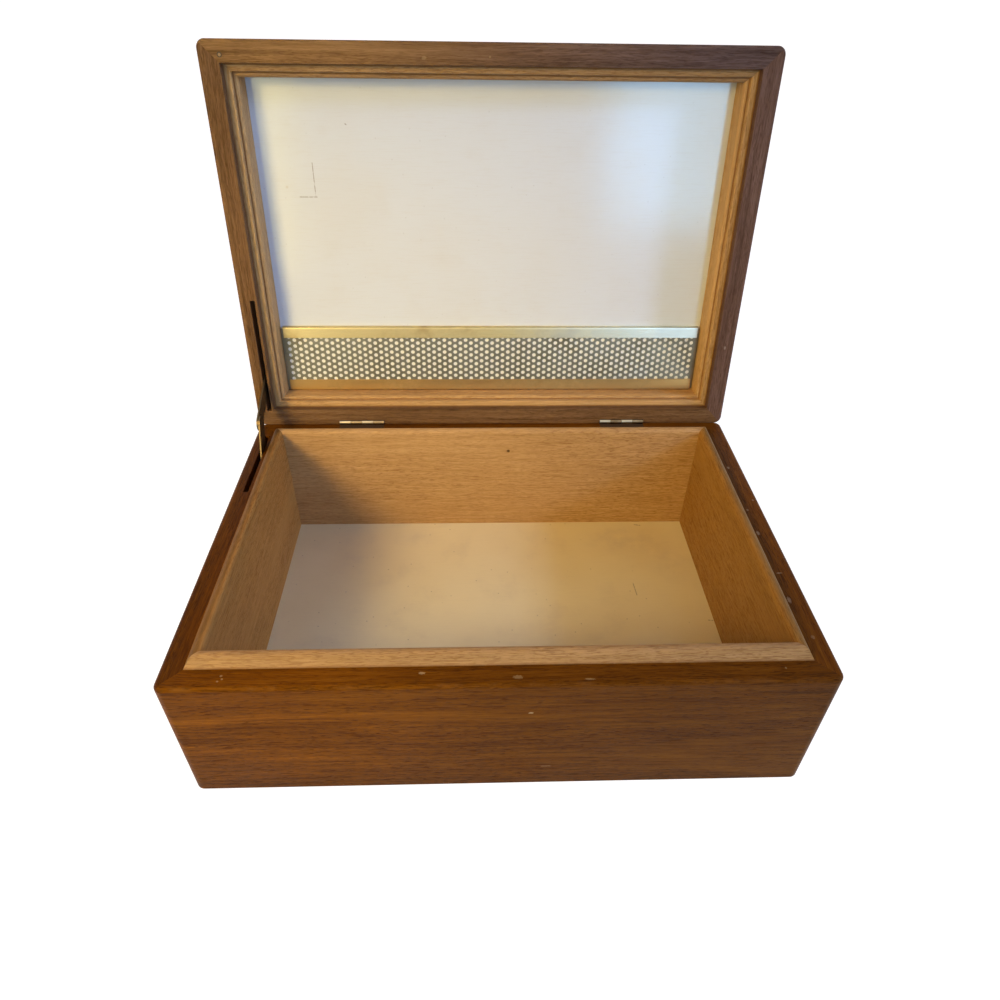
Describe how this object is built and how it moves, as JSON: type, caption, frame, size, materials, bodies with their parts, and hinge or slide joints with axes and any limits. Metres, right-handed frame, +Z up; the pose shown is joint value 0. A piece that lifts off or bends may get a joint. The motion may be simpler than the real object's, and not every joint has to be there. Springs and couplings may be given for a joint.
{
  "type": "wooden jewelry box",
  "caption": "Hinged wooden box with a lined tray, a lipped rim, a lid recess that carries a perforated moisture strip between brass rails, and a folding lid stay on one side.",
  "frame": {"origin": "middle of the underside of the body, on the surface it stands on", "axes": "+X along the hinge line to the right, +Y to the back where the hinges are, +Z up; the lid rests open"},
  "size_m": [0.268, 0.2409, 0.2552],
  "materials": {
    "walnut": "satin lacquered dark walnut",
    "mahogany": "bare golden mahogany",
    "base_ply": "plain board, unfinished",
    "white_laminate": "white laminate, slightly yellowed",
    "wood_filler": "filled nail hole",
    "white_card": "matt white card",
    "olive_plate": "olive grey metal",
    "rail_brass": "brushed brass",
    "hinge_brass": "aged brass",
    "stay_steel": "dulled plated steel"
  },
  "bodies": {
    "body": {"base_board": "base_ply", "body_back_wall": "walnut", "body_front_wall": "walnut", "body_left_wall": "walnut", "body_right_wall": "walnut", "floor_lining": "white_laminate", "hinge_left_body_leaf": "hinge_brass", "hinge_left_pin": "hinge_brass", "hinge_right_body_leaf": "hinge_brass", "hinge_right_pin": "hinge_brass", "hinge_screws": "hinge_brass", "liner_back": "mahogany", "liner_front": "mahogany", "liner_left": "mahogany", "liner_right": "mahogany", "stay_body_pin": "stay_steel"},
    "lid": {"hinge_left_lid_leaf": "hinge_brass", "hinge_right_lid_leaf": "hinge_brass", "lid_back_wall": "walnut", "lid_bead_back": "mahogany", "lid_bead_front": "mahogany", "lid_bead_left": "mahogany", "lid_bead_right": "mahogany", "lid_front_wall": "walnut", "lid_left_wall": "walnut", "lid_liner_back": "mahogany", "lid_liner_front": "mahogany", "lid_liner_left": "mahogany", "lid_liner_right": "mahogany", "lid_lining": "white_laminate", "lid_right_wall": "walnut", "lid_rim_plug": "wood_filler", "lid_top_board": "walnut", "lower_rail": "rail_brass", "moisture_card": "white_card", "perforated_plate": "olive_plate", "stay_lid_pin": "stay_steel", "top_rail": "rail_brass"},
    "stay_lower": {"stay_lower_arm": "stay_steel", "stay_knee_rivet": "stay_steel"},
    "stay_upper": {"stay_upper_arm": "stay_steel"}
  },
  "joints": [
    {"name": "lid_hinge", "type": "hinge", "parent": "body", "child": "lid", "pos_m": [0, 0.0924, 0.0715], "axis": [1, 0, 0], "range_deg": [0, 98.8]},
    {"name": "stay_lower_pivot", "type": "hinge", "parent": "body", "child": "stay_lower", "pos_m": [-0.1272, 0.0604, 0.0595], "axis": [1, 0, 0], "range_deg": [0, 98.8]},
    {"name": "stay_upper_pivot", "type": "hinge", "parent": "lid", "child": "stay_upper", "pos_m": [-0.1272, 0.10491, 0.09547], "axis": [1, 0, 0], "range_deg": [-98.8, 0]}
  ],
  "couplings": [
    {"joint": "stay_lower_pivot", "follows": "lid_hinge", "ratio": 1},
    {"joint": "stay_upper_pivot", "follows": "lid_hinge", "ratio": -1}
  ]
}
